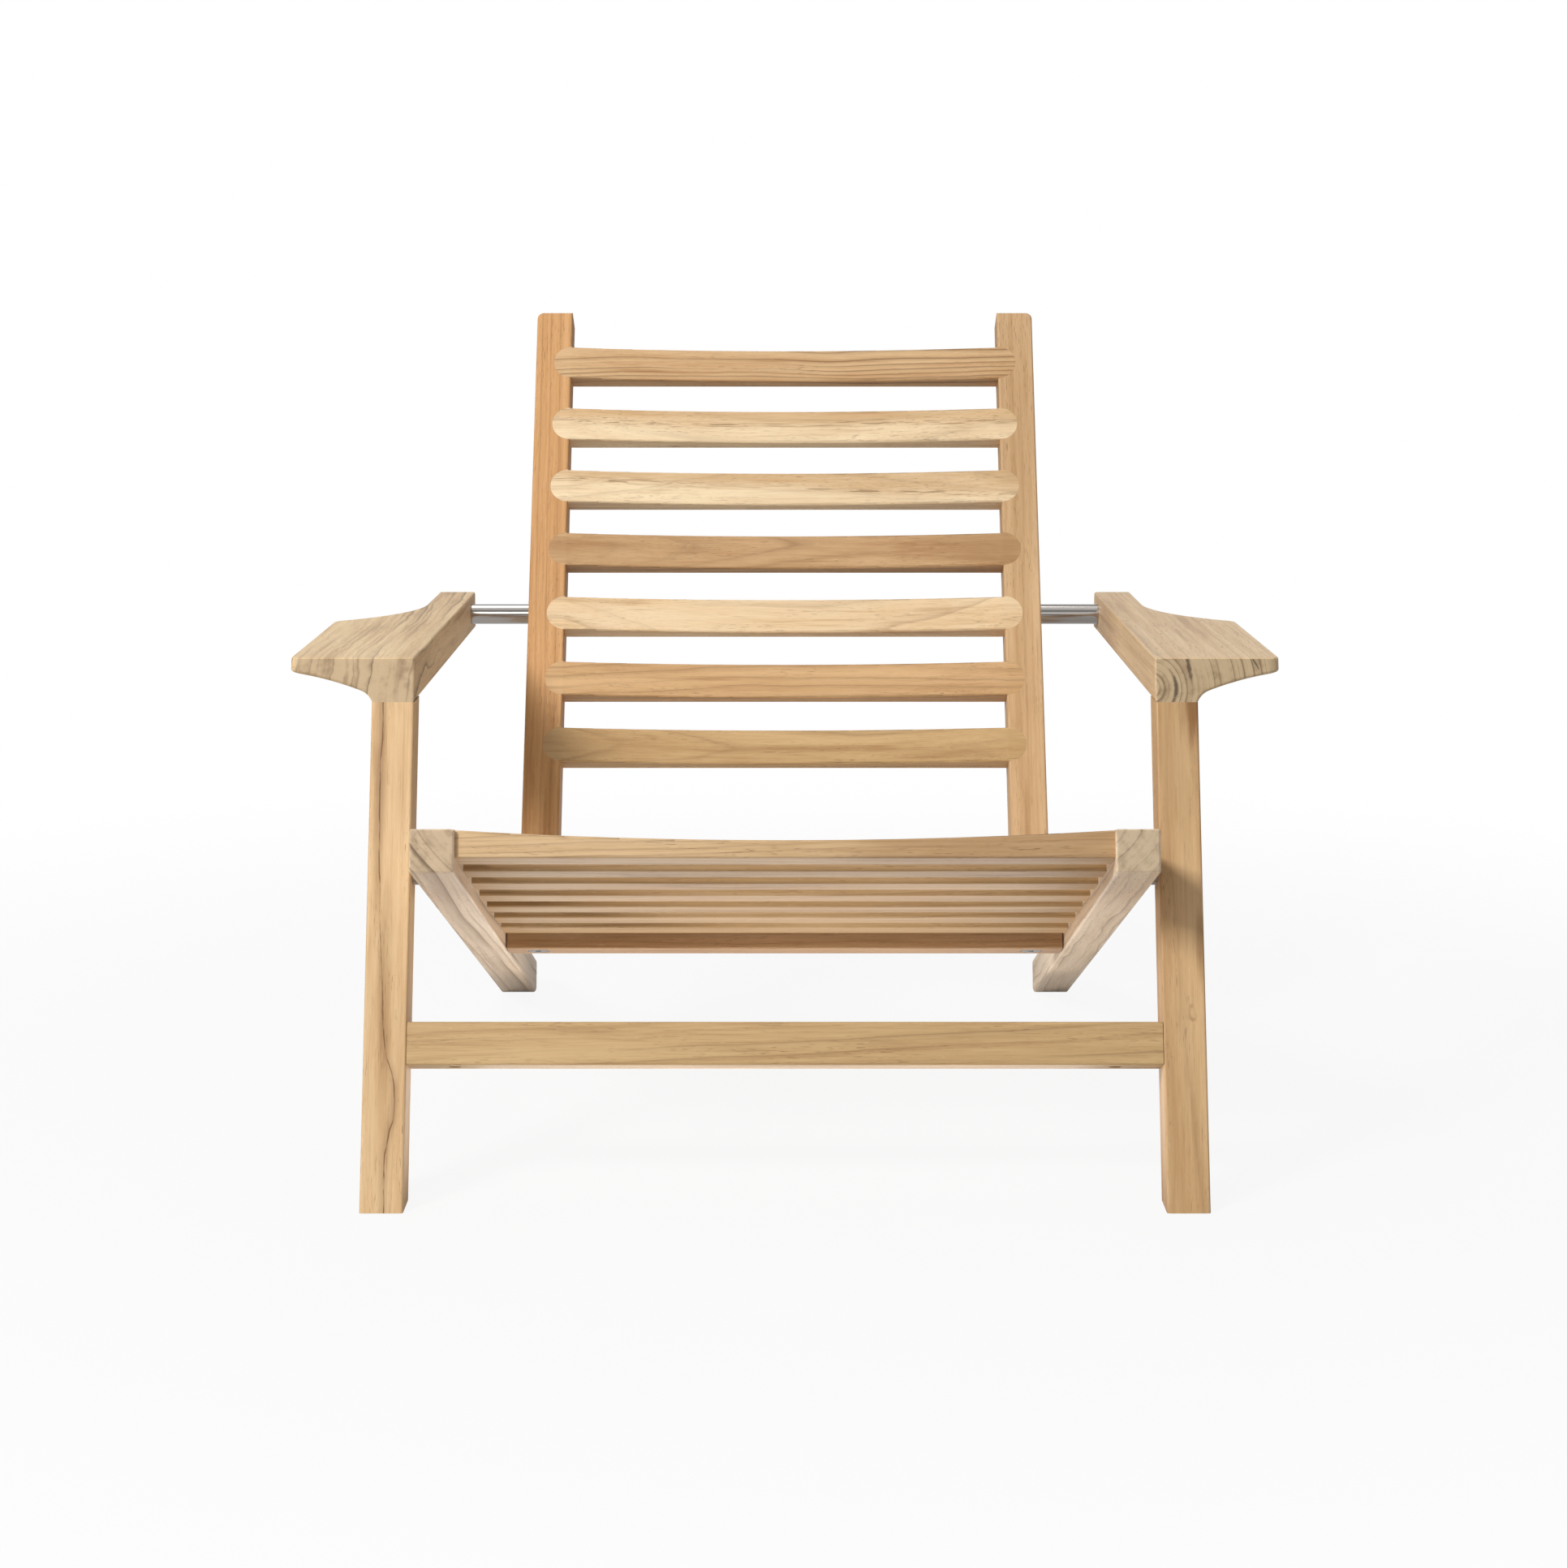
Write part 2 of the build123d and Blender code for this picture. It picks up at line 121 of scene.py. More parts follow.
class Finish:
    """The nodes of one finish, on a material or on the world."""

    def __init__(self, owner):
        self.owner = owner
        owner.use_nodes = True
        self.tree = owner.node_tree
        self.tree.nodes.clear()

    def node(self, kind, settings=None, inputs=None, output=None):
        """Adds a node, sets it up, joins its inputs and gives the named output, or its first one."""
        made = self.tree.nodes.new(kind)
        for setting, value in (settings or {}).items():
            if setting == "stops":
                set_stops(made.color_ramp, value)
            elif setting == "bends":
                set_bends(made.mapping, value)
            else:
                setattr(made, setting, value)
        for key, value in (inputs or {}).items():
            socket = made.inputs[key] if isinstance(key, int) else open_socket(made.inputs, key)
            if isinstance(value, Wire):
                self.tree.links.new(value.socket, socket)
            else:
                socket.default_value = value
        return Wire(self, open_socket(made.outputs, output)) if len(made.outputs) else None

    def math(self, operation, first, second=0.0):
        return self.node("ShaderNodeMath", {"operation": operation}, {0: first, 1: second})

    def mix(self, share, first, second):
        """Colour first where share is 0, second where it is 1."""
        settings = {"data_type": "RGBA", "blend_type": "MIX", "clamp_factor": True}
        return self.node("ShaderNodeMix", settings, {"Factor": share, "A": first, "B": second})

    def step(self, value, start, end):
        """0 before start and 1 after end, with a smooth rise between; start may be above end."""
        settings = {"interpolation_type": "SMOOTHSTEP", "clamp": True}
        if start < end:
            return self.node("ShaderNodeMapRange", settings, {"Value": value, 1: start, 2: end})
        return 1 - self.node("ShaderNodeMapRange", settings, {"Value": value, 1: end, 2: start})

    def curve(self, value, bends):
        return self.node("ShaderNodeFloatCurve", {"bends": bends}, {"Factor": 1.0, "Value": value})

    def place(self):
        """The painted point, in the chair's frame at rest."""
        return self.node("ShaderNodeTexCoord", output="Object")

    def part(self, vector, direction):
        """How far a vector goes in a direction."""
        inputs = {0: vector, 1: direction}
        return self.node("ShaderNodeVectorMath", {"operation": "DOT_PRODUCT"}, inputs, "Value")

    def length(self, vector):
        return self.node("ShaderNodeVectorMath", {"operation": "LENGTH"}, {0: vector}, "Value")

    def reach(self, first, second):
        """How far a point with these two coordinates is from their zero."""
        return self.length(self.node("ShaderNodeCombineXYZ", None, {0: first, 1: second}))

    def cloud(self, place, scale, detail):
        return self.node("ShaderNodeTexNoise", None, {"Vector": place, "Scale": scale, "Detail": detail})

    def noise_along(self, value, detail):
        """Noise that changes with one number alone."""
        inputs = {"W": value, "Scale": 1.0, "Detail": detail}
        return self.node("ShaderNodeTexNoise", {"noise_dimensions": "1D"}, inputs)

    def ray(self, kind):
        return self.node("ShaderNodeLightPath", output=kind)

    def raised(self, looks, height, strength, depth):
        """A material of these looks, with a fine relief of this depth in metres."""
        inputs = {"Strength": strength, "Distance": depth, "Height": height}
        bump = self.node("ShaderNodeBump", None, inputs)
        return self.surface(self.node("ShaderNodeBsdfPrincipled", None, {**looks, "Normal": bump}))

    def surface(self, shader):
        on_world = isinstance(self.owner, bpy.types.World)
        kind = "ShaderNodeOutputWorld" if on_world else "ShaderNodeOutputMaterial"
        self.node(kind, None, {"Surface": shader})
        return self.owner


def open_socket(sockets, name):
    """The first socket in use with this name, or the first in use where no name is given."""
    return next(s for s in sockets if s.enabled and (name is None or s.name == name))


def set_stops(ramp, stops):
    while len(ramp.elements) < len(stops):
        ramp.elements.new(0.5)
    for element, (place, shade) in zip(ramp.elements, stops):
        element.position = place
        element.color = (shade, shade, shade, 1.0)


def set_bends(mapping, bends):
    points = mapping.curves[0].points
    while len(points) < len(bends):
        points.new(0.5, 0.5)
    for point, bend in zip(points, bends):
        point.location = bend
    mapping.update()


class DarkPatch(NamedTuple):
    """A soft darker patch."""

    along: float
    across: float
    half_length: float
    half_width: float
    strength: float


class Streak(NamedTuple):
    """A dark line. bends gives its place across the board, 0 to 1, from one end to the other."""

    bends: tuple
    strength: float
    width: float


class Sap(NamedTuple):
    """A border between heartwood and sapwood. slope is its drift across the board for its run along it."""

    place: float
    slope: float
    softness: float


class Knot(NamedTuple):
    """A small sound knot."""

    along: float
    across: float
    radius: float


class Shake(NamedTuple):
    """A dark split in the end grain. lean slants it, and bow bends it."""

    across: float
    through: float
    half_width: float
    half_height: float
    lean: float
    bow: float


@dataclass
class Timber:
    """One board's wood. Lengths are in metres, and places are from the board's middle."""

    pale: tuple
    tan: tuple
    brown: tuple
    end: tuple = tint(196, 170, 134)
    vein: tuple = tint(118, 82, 48)
    seed: float = 0.0
    pith: tuple = (0.03, 0.14)
    ring: float = 0.0055
    ring_show: float = 0.45
    ring_skip: float = 0.32
    wander: float = 0.010
    ripple: float = 0.0015
    taper: float = 0.006
    pore_show: float = 0.5
    end_show: float = 0.55
    sap: Sap = None
    streaks: tuple = ()
    dark_patches: tuple = ()
    shakes: tuple = ()
    knots: tuple = ()


class Board:
    """Where a point of a board lies along its grain, across it and through it."""

    def __init__(self, finish, piece, grain, side):
        low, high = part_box(piece)
        middle = (low + high) / 2
        span = high - low
        facing = finish.node("ShaderNodeTexCoord", output="Normal")
        inputs = {0: finish.place(), 1: middle}
        at = finish.node("ShaderNodeVectorMath", {"operation": "SUBTRACT"}, inputs)
        self.finish = finish
        self.along = finish.part(at, grain)
        self.across = finish.part(at, side)
        self.through = finish.part(at, grain.cross(side))
        self.end = finish.step(abs(finish.part(facing, grain)), END_STARTS, END_FULL)
        self.length = span.dot(Vector(map(abs, grain)))
        self.width = span.dot(Vector(map(abs, side)))

    def noise(self, run, cross, seed, detail=2.0, rough=0.5):
        """Noise with this many waves a metre along the grain and across it, about 0.5."""
        spread = {0: self.across * cross, 1: self.through * cross, 2: self.along * run}
        place = self.finish.node("ShaderNodeCombineXYZ", None, spread)
        inputs = {"Vector": place, "W": seed, "Scale": 1.0, "Detail": detail, "Roughness": rough}
        return self.finish.node("ShaderNodeTexNoise", {"noise_dimensions": "4D"}, inputs)


def growth_rings(board, timber):
    """(dark line at some rings, line at every ring, slow tone) of a board cut this far from the pith."""
    finish = board.finish
    seed = timber.seed
    sway = board.noise(2.6, 9.0, seed + 1.3).swing(2 * timber.wander)
    lift = board.noise(2.2, 8.0, seed + 4.7).swing(2 * timber.wander)
    ripple = board.noise(11.0, 40.0, seed + 8.1, 3.0).swing(2 * timber.ripple)
    across = board.across - timber.pith[0] + sway + ripple
    through = board.through - timber.pith[1] + lift + ripple
    radius = finish.reach(across, through) + board.along * timber.taper
    uneven_years = finish.noise_along(radius * 55 + seed, 1.0) * 1.8
    turns = radius / timber.ring + uneven_years
    year = finish.math("FLOOR", turns)
    line = finish.node("ShaderNodeValToRGB", {"stops": RING_PROFILE}, {"Fac": turns - year})
    pick = finish.node("ShaderNodeCombineXYZ", None, {0: year * 3.71, 1: board.along * 3.0, 2: seed})
    dark_years = finish.step(finish.cloud(pick, 1.0, 1.0), timber.ring_skip, timber.ring_skip + 0.26)
    tone = finish.noise_along(radius * 150 + seed * 3, 2.0)
    return line * dark_years, line, tone


def streak(board, seed, mark):
    """A dark line down a board, broken here and there, with a clouded shade beside it."""
    finish = board.finish
    way = board.along / board.length + 0.5
    ripple = board.noise(26.0, 60.0, seed + 2.2).swing(0.004)
    miss = board.across - finish.curve(way, mark.bends).swing(board.width) + ripple
    core = finish.step(abs(miss), mark.width, 0.0)
    shade = finish.step(abs(miss + mark.width), 7 * mark.width, 0.0)
    broken = finish.step(board.noise(70.0, 20.0, seed + 5.9), 0.35, 0.6)
    clouded = finish.step(board.noise(7.0, 30.0, seed + 6.9), 0.35, 0.65)
    return core * (broken * 0.75 + 0.2) * mark.strength + shade * (clouded * 0.6 + 0.1) * mark.strength


def dark_patch(board, seed, mark):
    """A soft darker patch with a ragged edge along the grain."""
    finish = board.finish
    ragged = board.noise(14.0, 130.0, seed, 3.0).swing(1.5)
    far_along = (board.along - mark.along) / mark.half_length
    far_across = (board.across - mark.across) / mark.half_width
    return finish.step(finish.reach(far_along, far_across) + ragged, 1.25, 0.25) * mark.strength


def sapwood(board, seed, sap):
    """(how pale, how close to the border) by a wavering border between heartwood and sapwood."""
    finish = board.finish
    waver = board.noise(4.0, 12.0, seed + 6.4, 3.0).swing(0.016)
    beyond = board.across + waver - board.along * sap.slope
    dashes = finish.step(board.noise(26.0, 1000.0, seed + 9.4, 2.0), 0.50, 0.60)
    border = finish.step(abs(beyond - sap.place), 0.0045, 0.0) * dashes
    return finish.step(beyond, sap.place + sap.softness, sap.place - sap.softness), border


def knot(board, mark):
    """(broken dark rim, pale heart) of a small knot, longer along the grain than across it."""
    finish = board.finish
    uneven = board.noise(150.0, 190.0, mark.along * 300, 3.0).swing(1.3)
    far_along = (board.along - mark.along) * 0.55
    reach = finish.reach(far_along, board.across - mark.across) / mark.radius + uneven
    unbroken = finish.step(board.noise(60.0, 120.0, mark.along * 500), 0.40, 0.58)
    rim = finish.step(abs(reach - 0.55), 0.40, 0.0) * unbroken * 0.50
    return rim, finish.step(reach, 1.3, 0.3)


def shake(board, mark):
    """A dark split that shows on the sawn ends alone."""
    finish = board.finish
    down = board.through - mark.through
    aside = board.across - mark.across - down * mark.lean - down * down * mark.bow
    reach = finish.reach(aside / mark.half_width, down / mark.half_height)
    ragged = board.noise(40.0, 320.0, mark.across * 900).swing(0.9)
    return finish.step(reach + ragged, 1.15, 0.3) * board.end


class Figure:
    """A board's rings, bands, fibre and pores, each as a value over the wood."""

    def __init__(self, board, timber):
        finish = board.finish
        seed = timber.seed
        self.line, self.ring, self.tone = growth_rings(board, timber)
        self.broad = board.noise(4.0, 26.0, seed + 11.0, 4.0, 0.55)
        self.band = board.noise(5.0, 110.0, seed + 10.0, 3.0, 0.55)
        self.fibre = board.noise(11.0, 480.0, seed + 12.0, 3.0, 0.6)
        self.fine = board.noise(40.0, 1500.0, seed + 13.0, 2.0, 0.6)
        pits = finish.step(board.noise(95.0, 1500.0, seed + 14.0, 1.0), 0.61, 0.70)
        self.pore = pits * finish.step(board.noise(9.0, 60.0, seed + 15.0), 0.40, 0.62)
        self.fleck = finish.step(board.noise(120.0, 1100.0, seed + 16.0, 1.0), 0.62, 0.80)


def plain_wood(board, timber, figure):
    """Colour of a board's long faces before its own marks."""
    finish = board.finish
    warmth = 0.5 + figure.broad.swing(2.4) + figure.band.swing(1.7) + figure.tone.swing(1.5)
    warmth = warmth + figure.fibre.swing(1.1) + figure.fine.swing(0.7)
    colour = finish.mix(warmth, timber.pale, timber.tan)
    dark_bands = finish.step(figure.band + figure.broad.swing(0.7), 0.56, 0.80)
    colour = finish.mix(dark_bands * 0.45, colour, timber.brown)
    if timber.sap:
        sap, border = sapwood(board, timber.seed, timber.sap)
        heart_side = finish.mix(0.6, colour, timber.tan)
        sap_side = finish.mix(0.6, colour, timber.pale)
        colour = finish.mix(sap * 0.9, heart_side, sap_side)
        colour = finish.mix(border * 0.6, colour, timber.vein)
    colour = finish.mix(figure.line * timber.ring_show, colour, timber.vein)
    colour = finish.mix(finish.step(figure.fibre, 0.54, 0.78) * 0.30, colour, timber.brown)
    colour = finish.mix(finish.step(figure.fine, 0.52, 0.78) * 0.26, colour, timber.brown)
    return finish.mix(figure.fleck * 0.16, colour, FLECK_CREAM)


def with_marks(board, timber, figure, colour):
    """The colour with the board's darker patches, knots, pores and dark lines; one darker patch is painted
    shade.
    """
    finish = board.finish
    for number, mark in enumerate(timber.dark_patches):
        colour = finish.mix(dark_patch(board, timber.seed + 20 + number, mark), colour, timber.brown)
    for mark in timber.knots:
        rim, heart = knot(board, mark)
        colour = finish.mix(heart * 0.5, colour, timber.pale)
        colour = finish.mix(rim, colour, timber.brown)
    colour = finish.mix(figure.pore * timber.pore_show, colour, PORE_BROWN)
    for number, mark in enumerate(timber.streaks):
        colour = finish.mix(streak(board, timber.seed + 30 + number, mark), colour, STREAK_BROWN)
    return colour


def with_sawn_ends(board, timber, figure, colour):
    """The colour with greyer rings and dark splits on the faces sawn across the grain."""
    finish = board.finish
    sooty = figure.line * timber.end_show + figure.ring * 0.14
    sooty = sooty + figure.tone.swing(1.2) + figure.band.swing(1.6) + figure.broad.swing(0.8)
    colour = finish.mix(board.end * 0.80, colour, finish.mix(sooty, timber.end, SAWN_GREY))
    for mark in timber.shakes:
        colour = finish.mix(shake(board, mark) * 0.8, colour, SHAKE_BLACK)
    return colour


def teak(piece, grain, side, timber):
    """Sanded bare teak: growth rings, fibre, pores and colour that run through the board to its ends."""
    finish = Finish(bpy.data.materials.new(piece + "_teak"))
    board = Board(finish, piece, grain, side)
    figure = Figure(board, timber)
    colour = plain_wood(board, timber, figure)
    colour = with_marks(board, timber, figure, colour)
    colour = with_sawn_ends(board, timber, figure, colour)
    rough = 0.46 + figure.fine.swing(0.22) + figure.pore * 0.12 + board.end * 0.12
    height = figure.fine * 0.6 + figure.fibre * 0.5 - figure.pore * 0.9 - figure.line * 0.25
    looks = {"Base Color": colour, "Roughness": rough, "Specular IOR Level": WOOD_SPECULAR}
    return finish.raised(looks, height, strength=0.30, depth=WOOD_RELIEF)


def steel(name, base, rough, run, scratch):
    """Stainless steel. run gives the waves a metre of its grain along X, Y and Z."""
    finish = Finish(bpy.data.materials.new(name))
    place = finish.place()
    stretched = finish.node("ShaderNodeVectorMath", {"operation": "MULTIPLY"}, {0: place, 1: run})
    lines = finish.cloud(stretched, 1.0, 4.0)
    cloud = finish.cloud(place, 60.0, 2.0)
    colour = finish.mix(lines * 0.5 + cloud * 0.3, base, STEEL_SHADE)
    roughness = rough + lines.swing(0.16) + cloud.swing(0.06)
    looks = {"Base Color": colour, "Roughness": roughness, "Metallic": 1.0}
    return finish.raised(looks, lines, scratch, FINE_RELIEF)


def zinc_plate():
    """Plated steel: a faint spangle, and clouds from grey to a little yellow."""
    finish = Finish(bpy.data.materials.new("zinc_plate"))
    place = finish.place()
    spangle = finish.node("ShaderNodeTexVoronoi", None, {"Vector": place, "Scale": 420.0}, "Distance")
    cloud = finish.cloud(place, 180.0, 3.0)
    colour = finish.mix(cloud, tint(188, 190, 192), tint(206, 202, 186))
    looks = {"Base Color": colour, "Roughness": 0.34 + spangle * 0.2, "Metallic": 1.0}
    return finish.raised(looks, cloud, 0.15, FINE_RELIEF)


def moulded_bush():
    """Wood-coloured moulded plastic with a fine matt grain."""
    finish = Finish(bpy.data.materials.new("moulded_bush"))
    place = finish.place()
    grain = finish.cloud(place, 1500.0, 2.0)
    colour = finish.mix(finish.cloud(place, 90.0, 2.0), tint(164, 126, 86), tint(148, 112, 74))
    looks = {"Base Color": colour, "Roughness": 0.5 + grain.swing(0.2)}
    return finish.raised(looks, grain, 0.2, FINE_RELIEF)


def dress(material, *pieces):
    for piece in pieces:
        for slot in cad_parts[piece].material_slots:
            slot.material = material


def dress_boards(grain, side, boards):
    """Gives each board, by its name, its own wood."""
    for piece, timber in boards.items():
        dress(teak(piece, grain, side, timber), piece)


def dress_legs():
    dark_line = Streak(
        bends=(
            (0, 0.55), (0.08, 0.56), (0.14, 0.64), (0.19, 0.74),
            (0.29, 0.5), (0.44, 0.37), (0.62, 0.27), (1, 0.29),
        ),
        strength=0.85,
        width=0.0008,
    )
    left = Timber(
        pale=tint(232, 199, 153),
        tan=tint(214, 174, 125),
        brown=tint(154, 112, 66),
        seed=2.0,
        pith=(0.02, 0.22),
        ring_show=0.22,
        streaks=(dark_line,),
        dark_patches=(
            DarkPatch(along=-0.07, across=-0.001, half_length=0.11, half_width=0.006, strength=0.42),
            DarkPatch(along=0.12, across=-0.006, half_length=0.06, half_width=0.003, strength=0.35),
            DarkPatch(along=-0.11, across=0.0, half_length=0.14, half_width=0.030, strength=0.17),
        ),
    )
    right = Timber(
        pale=tint(219, 182, 135),
        tan=tint(198, 157, 110),
        brown=tint(146, 104, 63),
        seed=17.0,
        pith=(-0.05, 0.18),
        ring_show=0.25,
        dark_patches=(
            DarkPatch(along=-0.01, across=0.014, half_length=0.03, half_width=0.006, strength=0.5),
            DarkPatch(along=0.176, across=0.012, half_length=0.040, half_width=0.011, strength=1.0),
            DarkPatch(along=0.15, across=-0.002, half_length=0.09, half_width=0.022, strength=0.22),
        ),
        knots=(Knot(along=-0.062, across=0.007, radius=0.0050),),
    )
    dress_boards(UP_LEG, RIGHT, {"left_front_leg": left, "right_front_leg": right})


def dress_armrests():
    left = Timber(
        pale=tint(234, 205, 160),
        tan=tint(210, 175, 128),
        brown=tint(142, 112, 82),
        end=tint(188, 162, 129),
        vein=tint(98, 76, 56),
        seed=31.0,
        pith=(0.34, 0.05),
        ring=0.0064,
        ring_show=0.95,
        ring_skip=0.42,
        wander=0.015,
        ripple=0.0055,
        pore_show=0.35,
        end_show=1.25,
    )
    right = Timber(
        pale=tint(234, 205, 163),
        tan=tint(218, 182, 138),
        brown=tint(142, 110, 80),
        end=tint(184, 162, 128),
        seed=45.0,
        pith=(-0.052, 0.006),
        ring=0.0044,
        ring_show=0.26,
        ring_skip=0.30,
        wander=0.003,
        pore_show=0.6,
        end_show=1.3,
        dark_patches=(
            DarkPatch(along=-0.10, across=-0.047, half_length=0.16, half_width=0.008, strength=0.22),
            DarkPatch(along=0.13, across=-0.049, half_length=0.10, half_width=0.009, strength=0.35),
        ),
        shakes=(
            Shake(across=-0.0225, through=-0.010, half_width=0.0022, half_height=0.014, lean=0.17, bow=0.0),
            Shake(across=-0.0325, through=0.006, half_width=0.0022, half_height=0.016, lean=0.0, bow=-27.0),
            Shake(across=0.0290, through=-0.013, half_width=0.0008, half_height=0.007, lean=0.6, bow=0.0),
        ),
    )
    dress_boards(BACKWARD, RIGHT, {"left_armrest": left, "right_armrest": right})


def dress_stiles():
    left = Timber(
        pale=tint(220, 170, 116),
        tan=tint(202, 150, 95),
        brown=tint(152, 99, 54),
        vein=tint(148, 94, 50),
        seed=51.0,
        pith=(-0.12, 0.05),
        ring=0.0075,
        ring_show=0.42,
        wander=0.006,
    )
    right = Timber(
        pale=tint(224, 187, 143),
        tan=tint(207, 167, 120),
        brown=tint(162, 119, 75),
        vein=tint(146, 104, 62),
        seed=58.0,
        pith=(0.10, 0.10),
        ring=0.007,
        ring_show=0.26,
        wander=0.006,
        dark_patches=(DarkPatch(along=0.22, across=0.0, half_length=0.26, half_width=0.03, strength=0.27),),
    )
    dress_boards(UP_BACK, RIGHT, {"left_back_stile": left, "right_back_stile": right})


def dress_back_slats():
    """Seven slats from the top down: the second, third and fifth are pale."""
    cream, brown = tint(252, 229, 190), tint(150, 106, 60)
    boards = [
        Timber(
            tint(221, 185, 140), tint(203, 161, 114), brown,
            pith=(0.05, 0.04), ring=0.0042, ring_show=0.85, wander=0.014,
        ),
        Timber(
            cream, tint(214, 175, 127), brown,
            pith=(-0.04, 0.12), ring_show=0.22,
            sap=Sap(place=0.004, slope=0.0, softness=0.007),
            knots=(Knot(along=0.069, across=-0.012, radius=0.0048),),
        ),
        Timber(
            cream, tint(208, 169, 122), brown,
            pith=(0.05, 0.14), ring_show=0.2,
            sap=Sap(place=0.001, slope=-0.035, softness=0.007),
        ),
        Timber(
            tint(212, 174, 129), tint(190, 148, 103), brown,
            pith=(0.004, 0.06), ring_show=0.60, taper=0.02,
            dark_patches=(
                DarkPatch(along=0.19, across=0.002, half_length=0.07, half_width=0.020, strength=0.50),
                DarkPatch(along=-0.20, across=0.0, half_length=0.07, half_width=0.020, strength=0.25),
            ),
        ),
        Timber(tint(244, 217, 177), tint(232, 197, 151), brown, pith=(-0.02, 0.12), ring_show=0.3),
        Timber(tint(223, 183, 134), tint(205, 163, 114), brown, pith=(0.06, 0.10), ring_show=0.4),
        Timber(
            tint(214, 179, 129), tint(193, 156, 106), brown,
            pith=(-0.002, 0.05), ring_show=0.4, taper=0.024,
            # The darker left end is painted shade, where the left armrest's shadow falls on this slat.
            dark_patches=(DarkPatch(along=-0.19, across=0.0, half_length=0.10, half_width=0.020, strength=0.28),),
        ),
    ]
    for number, timber in enumerate(boards, 1):
        timber.seed = 60.0 + 7.0 * number
        dress_boards(RIGHT, UP_BACK, {f"back_slat_{number}": timber})


def dress_seat_slats():
    """Seven slats from the front. Slats two to seven carry painted shade, about 30 levels darker than the
    first, for the shade under the seat, each with its own tone; the first darkens to the right.
    """
    brown = tint(152, 110, 66)
    right_patch = DarkPatch(along=0.17, across=-0.0165, half_length=0.17, half_width=0.06, strength=0.5)
    for number in range(1, 8):
        first = number == 1
        # Slats two to seven are darkened by painted shade on top of their own tones.
        tone_and_painted_shade = 9 if first else 29 + 4 * (number * 3 % 4)
        timber = Timber(
            pale=tint(228 - tone_and_painted_shade, 195 - tone_and_painted_shade, 152 - tone_and_painted_shade),
            tan=tint(210 - tone_and_painted_shade, 174 - tone_and_painted_shade, 128 - tone_and_painted_shade),
            brown=brown,
            seed=120.0 + 6.0 * number,
            pith=(0.03 - 0.01 * number, 0.06),
            ring_show=0.38,
            wander=0.013,
            dark_patches=(right_patch,) if first else (),
        )
        dress_boards(RIGHT, DOWN_RAIL, {f"seat_slat_{number}": timber})


def dress_rails():
    # The rails' pale, greyish colours are partly their own and partly painted sheen: they are raised to
    # stand in for the white floor's glancing reflection on the rails' undersides.
    left = Timber(
        pale=tint(244, 222, 195),
        tan=tint(230, 203, 172),
        brown=tint(152, 124, 97),
        end=tint(190, 164, 131),
        seed=201.0,
        pith=(0.11, -0.09),
        ring=0.0085,
        ring_show=0.7,
        ring_skip=0.38,
        ripple=0.004,
        end_show=0.85,
    )
    right = Timber(
        pale=tint(244, 222, 195),
        tan=tint(231, 205, 173),
        brown=tint(154, 126, 99),
        end=tint(192, 170, 139),
        seed=212.0,
        pith=(-0.11, -0.08),
        ring=0.0075,
        ring_show=0.55,
        ring_skip=0.34,
        ripple=0.004,
        end_show=0.95,
    )
    dress_boards(DOWN_RAIL, RIGHT, {"left_seat_rail": left, "right_seat_rail": right})


def dress_crosswise_bars():
    stretcher = Timber(
        pale=tint(208, 175, 126),
        tan=tint(189, 153, 106),
        brown=tint(138, 102, 60),
        seed=230.0,
        pith=(0.15, 0.08),
        ring=0.010,
        taper=0.05,
    )
    crossbar = Timber(
        pale=tint(186, 148, 108),
        tan=tint(168, 127, 86),
        brown=tint(124, 87, 52),
        seed=238.0,
        pith=(0.05, 0.12),
        ring_show=0.35,
    )
    dress_boards(RIGHT, UP_LEG, {"front_stretcher": stretcher})
    dress_boards(RIGHT, UP_BACK, {"rear_crossbar": crossbar})


def dress_fittings():
    """The rod is drawn, so its lines run along it. The other steel is turned and has an even grain."""
    along, even = (1.5, 900.0, 900.0), (400.0, 400.0, 400.0)
    drawn = steel("drawn_rod_steel", tint(186, 181, 176), rough=0.13, run=along, scratch=0.004)
    # Its darker base colour is partly painted shade, standing in for the shade in the bolts' counterbores.
    turned = steel("turned_steel_painted_shade", tint(150, 147, 144), rough=0.26, run=even, scratch=0.05)
    dress(drawn, "back_rest_rod")
    dress(turned, "rail_spacers", "rail_bolts", "stretcher_bolts", "stile_bolts", "pivot_pins")
    dress(zinc_plate(), "rail_inserts", "stile_inserts", "stretcher_barrel_nuts", "rail_lock_pins")
    dress(moulded_bush(), "pivot_bushes")


def seen_directly(finish):
    """1 for what the camera, a mirror or a clear surface shows, 0 for light that falls on things."""
    shown = finish.math("MAXIMUM", finish.ray("Is Camera Ray"), finish.ray("Is Glossy Ray"))
    return finish.math("MAXIMUM", shown, finish.ray("Is Transmission Ray"))


def floor_paint():
    """Pale matt paint that looks white and still takes the chair's shadow."""
    finish = Finish(bpy.data.materials.new("studio_floor_white"))
    matt = finish.node("ShaderNodeBsdfDiffuse", None, {"Color": FLOOR_GREY})
    white = finish.node("ShaderNodeEmission", None, {"Color": WHITE, "Strength": 1.0})
    away = finish.length(finish.place())
    whiteness = WHITE_NEAR + finish.step(away, GAIN_STARTS, GAIN_ENDS) * WHITE_GAIN
    share = seen_directly(finish) * whiteness * (1 - finish.ray("Is Glossy Ray") * MIRROR_LOSS)
    return finish.surface(finish.node("ShaderNodeMixShader", None, {0: share, 1: matt, 2: white}))


def add_floor():
    far = FLOOR_REACH
    corners = [(-far, -far, 0), (far, -far, 0), (far, far, 0), (-far, far, 0)]
    mesh = bpy.data.meshes.new("studio_floor")
    mesh.from_pydata(corners, [], [(0, 1, 2, 3)])
    mesh.materials.append(floor_paint())
    floor = bpy.data.objects.new("studio_floor", mesh)
    floor.location.z = -FLOOR_DROP
    bpy.context.scene.collection.objects.link(floor)


